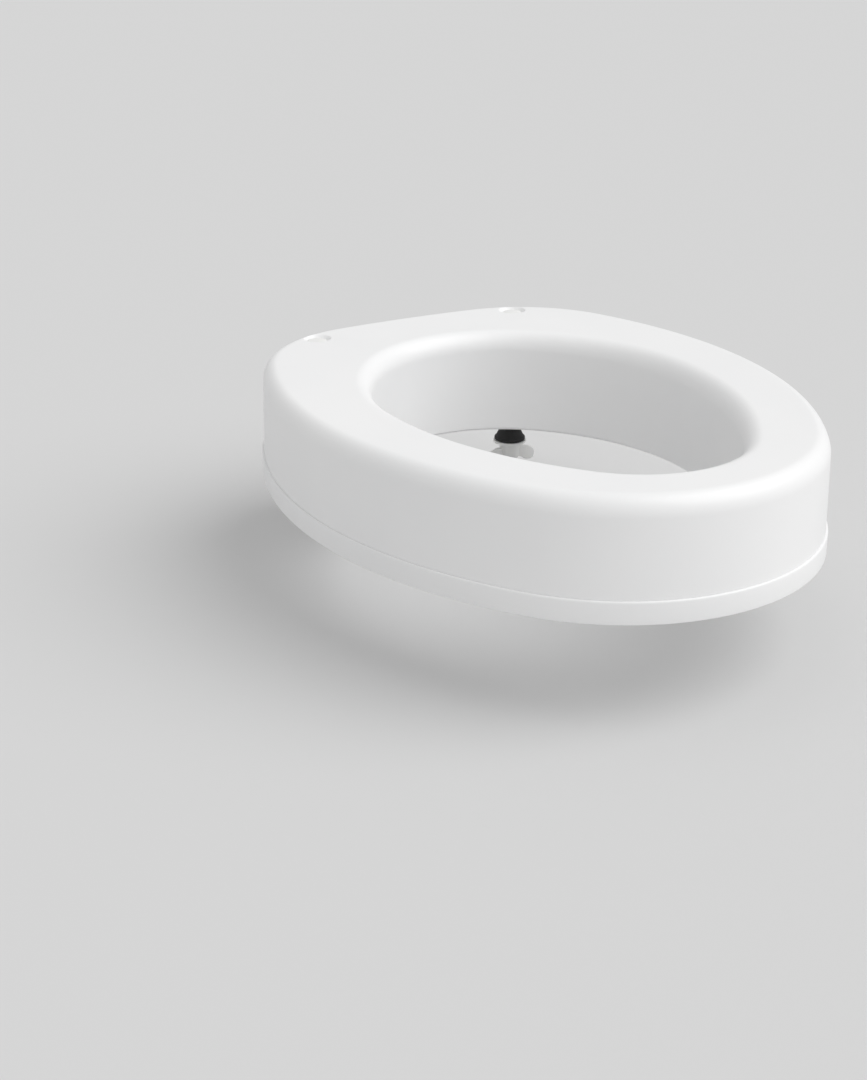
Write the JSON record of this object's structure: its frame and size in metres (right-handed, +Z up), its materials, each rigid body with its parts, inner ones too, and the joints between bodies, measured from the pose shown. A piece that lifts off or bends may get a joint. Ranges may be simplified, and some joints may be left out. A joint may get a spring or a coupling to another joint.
{
  "type": "raised toilet seat",
  "caption": "Hollow white plastic ring that bolts onto a toilet bowl under the user's own seat and raises it, with a base tray, rubber pads and long bolts with wing nuts.",
  "frame": {"origin": "midway between the two mounting bolts, on the plane that the rubber pads rest on", "axes": "+Z up, -Y towards the nose of the seat, +X to the right seen from the front"},
  "size_m": [0.368, 0.459, 0.1532],
  "materials": {
    "shell_plastic": "satin gloss",
    "tray_plastic": "satin",
    "screw_steel": "zinc plated",
    "pad_rubber": "matt",
    "washer_rubber": "matt",
    "nylon": "satin"
  },
  "bodies": {
    "riser": {"top_shell": "shell_plastic", "base_tray": "tray_plastic", "screw_1": "screw_steel", "screw_2": "screw_steel", "screw_3": "screw_steel", "screw_4": "screw_steel", "screw_5": "screw_steel", "screw_6": "screw_steel", "screw_7": "screw_steel", "screw_8": "screw_steel", "pad_right_nose": "pad_rubber", "pad_right_front": "pad_rubber", "pad_right_middle": "pad_rubber", "pad_right_rear": "pad_rubber", "pad_left_rear": "pad_rubber", "pad_left_middle": "pad_rubber", "pad_left_front": "pad_rubber", "pad_left_nose": "pad_rubber", "bolt_left": "nylon", "bolt_right": "nylon"},
    "washers_left": {"cone_washer_left": "washer_rubber", "flat_washer_left": "nylon"},
    "nut_left": {"wing_nut_left": "nylon"},
    "washers_right": {"cone_washer_right": "washer_rubber", "flat_washer_right": "nylon"},
    "nut_right": {"wing_nut_right": "nylon"}
  },
  "joints": [
    {"name": "washers_left_slide", "type": "slide", "parent": "riser", "child": "washers_left", "axis": [0, 0, 1], "range_m": [-0.015, 0.01]},
    {"name": "nut_left_spin", "type": "hinge", "parent": "washers_left", "child": "nut_left", "pos_m": [-0.089, 0, -0.034], "axis": [0, 0, 1], "range_deg": [-4320, 2880]},
    {"name": "washers_right_slide", "type": "slide", "parent": "riser", "child": "washers_right", "axis": [0, 0, 1], "range_m": [-0.015, 0.01]},
    {"name": "nut_right_spin", "type": "hinge", "parent": "washers_right", "child": "nut_right", "pos_m": [0.089, 0, -0.034], "axis": [0, 0, 1], "range_deg": [-4320, 2880]}
  ],
  "couplings": [
    {"joint": "washers_left_slide", "follows": "nut_left_spin", "m_per_rad": 0.00019894},
    {"joint": "washers_right_slide", "follows": "nut_right_spin", "m_per_rad": 0.00019894}
  ]
}
